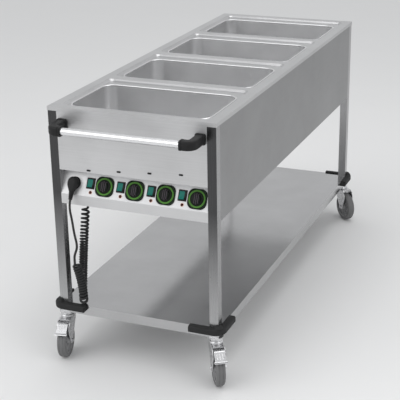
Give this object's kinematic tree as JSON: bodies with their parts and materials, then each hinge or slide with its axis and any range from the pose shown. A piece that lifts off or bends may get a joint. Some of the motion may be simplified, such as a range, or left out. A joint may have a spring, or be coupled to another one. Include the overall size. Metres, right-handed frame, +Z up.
{
  "type": "hostess trolley",
  "caption": "Heated serving trolley in stainless steel with sunken pan wells, front controls, a push handle, a lower shelf, corner bumpers and swivel castors.",
  "frame": {"origin": "on the floor under the middle of the whole trolley", "axes": "+Z up; the controls and the push handle are on the -Y end; the long way is along Y"},
  "size_m": [0.7306, 1.765, 0.926],
  "materials": {
    "stainless_steel": "fine brushed stainless",
    "well_steel": "deep-drawn stainless",
    "polished_steel": "polished tube",
    "black_plastic": "satin moulded",
    "black_rubber": "matt, non-marking",
    "cord_rubber": "matt cord sheath",
    "zinc_steel": "bright zinc plate",
    "grey_rubber": "smooth grey tread",
    "white_foil": "printed foil",
    "green_rocker": "translucent green",
    "red_lens": "unlit lens",
    "green_dial": "moulded",
    "dark_knob": "moulded",
    "dark_plastic": "moulded",
    "heater_aluminium": "plate"
  },
  "bodies": {
    "trolley": {"top_deck": "stainless_steel", "side_panel_left": "stainless_steel", "side_panel_right": "stainless_steel", "front_panel": "stainless_steel", "rear_panel": "stainless_steel", "bottom_pan": "stainless_steel", "control_console": "stainless_steel", "shelf": "stainless_steel", "post_front_left": "stainless_steel", "post_front_right": "stainless_steel", "post_rear_left": "stainless_steel", "post_rear_right": "stainless_steel", "well_1": "well_steel", "well_2": "well_steel", "well_3": "well_steel", "well_4": "well_steel", "handle_tube": "polished_steel", "handle_elbow_left": "black_plastic", "handle_elbow_right": "black_plastic", "slot_inserts": "black_plastic", "parking_socket": "black_plastic", "mains_plug": "black_plastic", "cord_gland": "black_plastic", "rocker_frames": "black_plastic", "bumper_front_left": "black_rubber", "bumper_front_right": "black_rubber", "bumper_rear_left": "black_rubber", "bumper_rear_right": "black_rubber", "mains_lead": "cord_rubber", "curly_cord": "cord_rubber", "castor_heads": "zinc_steel", "handle_bolts": "zinc_steel", "post_inserts": "zinc_steel", "control_foil": "white_foil", "indicator_lamps": "red_lens", "thermostat_dials": "green_dial", "thermostat_bodies": "dark_plastic", "well_heaters": "heater_aluminium"},
    "castor_front_left": {"castor_fork_front_left": "zinc_steel", "castor_axle_front_left": "zinc_steel"},
    "wheel_front_left": {"castor_wheel_front_left": "grey_rubber"},
    "pedal_front_left": {"brake_pedal_front_left": "zinc_steel"},
    "castor_front_right": {"castor_fork_front_right": "zinc_steel", "castor_axle_front_right": "zinc_steel"},
    "wheel_front_right": {"castor_wheel_front_right": "grey_rubber"},
    "pedal_front_right": {"brake_pedal_front_right": "zinc_steel"},
    "castor_rear_left": {"castor_fork_rear_left": "zinc_steel", "castor_axle_rear_left": "zinc_steel"},
    "wheel_rear_left": {"castor_wheel_rear_left": "grey_rubber"},
    "castor_rear_right": {"castor_fork_rear_right": "zinc_steel", "castor_axle_rear_right": "zinc_steel"},
    "wheel_rear_right": {"castor_wheel_rear_right": "grey_rubber"},
    "rocker_1": {"rocker_1": "green_rocker"},
    "knob_1": {"knob_1": "dark_knob"},
    "rocker_2": {"rocker_2": "green_rocker"},
    "knob_2": {"knob_2": "dark_knob"},
    "rocker_3": {"rocker_3": "green_rocker"},
    "knob_3": {"knob_3": "dark_knob"},
    "rocker_4": {"rocker_4": "green_rocker"},
    "knob_4": {"knob_4": "dark_knob"}
  },
  "joints": [
    {"name": "swivel_front_left", "type": "hinge", "parent": "trolley", "child": "castor_front_left", "pos_m": [-0.2875, -0.772, 0.15], "axis": [0, 0, 1], "continuous": true},
    {"name": "roll_front_left", "type": "hinge", "parent": "castor_front_left", "child": "wheel_front_left", "pos_m": [-0.2796, -0.80917, 0.0625], "axis": [0.9781, 0.2079, 0], "continuous": true},
    {"name": "brake_front_left", "type": "hinge", "parent": "castor_front_left", "child": "pedal_front_left", "pos_m": [-0.28043, -0.80526, 0.134], "axis": [0.9781, 0.2079, 0], "range_deg": [0, 6]},
    {"name": "swivel_front_right", "type": "hinge", "parent": "trolley", "child": "castor_front_right", "pos_m": [0.2875, -0.772, 0.15], "axis": [0, 0, 1], "continuous": true},
    {"name": "roll_front_right", "type": "hinge", "parent": "castor_front_right", "child": "wheel_front_right", "pos_m": [0.30764, -0.80423, 0.0625], "axis": [0.848, 0.5299, 0], "continuous": true},
    {"name": "brake_front_right", "type": "hinge", "parent": "castor_front_right", "child": "pedal_front_right", "pos_m": [0.30552, -0.80083, 0.134], "axis": [0.848, 0.5299, 0], "range_deg": [0, 6]},
    {"name": "swivel_rear_left", "type": "hinge", "parent": "trolley", "child": "castor_rear_left", "pos_m": [-0.2875, 0.843, 0.15], "axis": [0, 0, 1], "continuous": true},
    {"name": "roll_rear_left", "type": "hinge", "parent": "castor_rear_left", "child": "wheel_rear_left", "pos_m": [-0.3139, 0.81566, 0.0625], "axis": [0.7193, -0.6947, 0], "continuous": true},
    {"name": "swivel_rear_right", "type": "hinge", "parent": "trolley", "child": "castor_rear_right", "pos_m": [0.2875, 0.843, 0.15], "axis": [0, 0, 1], "continuous": true},
    {"name": "roll_rear_right", "type": "hinge", "parent": "castor_rear_right", "child": "wheel_rear_right", "pos_m": [0.3139, 0.81566, 0.0625], "axis": [0.7193, 0.6947, 0], "continuous": true},
    {"name": "rocker_1_tip", "type": "hinge", "parent": "trolley", "child": "rocker_1", "pos_m": [-0.1646, -0.76672, 0.65922], "axis": [1, 0, 0], "range_deg": [0, 16]},
    {"name": "knob_1_turn", "type": "hinge", "parent": "trolley", "child": "knob_1", "pos_m": [-0.1112, -0.77991, 0.65955], "axis": [0, 0.891, -0.454], "range_deg": [0, 270]},
    {"name": "rocker_2_tip", "type": "hinge", "parent": "trolley", "child": "rocker_2", "pos_m": [-0.0516, -0.76672, 0.65922], "axis": [1, 0, 0], "range_deg": [0, 16]},
    {"name": "knob_2_turn", "type": "hinge", "parent": "trolley", "child": "knob_2", "pos_m": [0.0018, -0.77991, 0.65955], "axis": [0, 0.891, -0.454], "range_deg": [0, 270]},
    {"name": "rocker_3_tip", "type": "hinge", "parent": "trolley", "child": "rocker_3", "pos_m": [0.0614, -0.76672, 0.65922], "axis": [1, 0, 0], "range_deg": [0, 16]},
    {"name": "knob_3_turn", "type": "hinge", "parent": "trolley", "child": "knob_3", "pos_m": [0.1148, -0.77991, 0.65955], "axis": [0, 0.891, -0.454], "range_deg": [0, 270]},
    {"name": "rocker_4_tip", "type": "hinge", "parent": "trolley", "child": "rocker_4", "pos_m": [0.1744, -0.76672, 0.65922], "axis": [1, 0, 0], "range_deg": [0, 16]},
    {"name": "knob_4_turn", "type": "hinge", "parent": "trolley", "child": "knob_4", "pos_m": [0.2278, -0.77991, 0.65955], "axis": [0, 0.891, -0.454], "range_deg": [0, 270]}
  ]
}
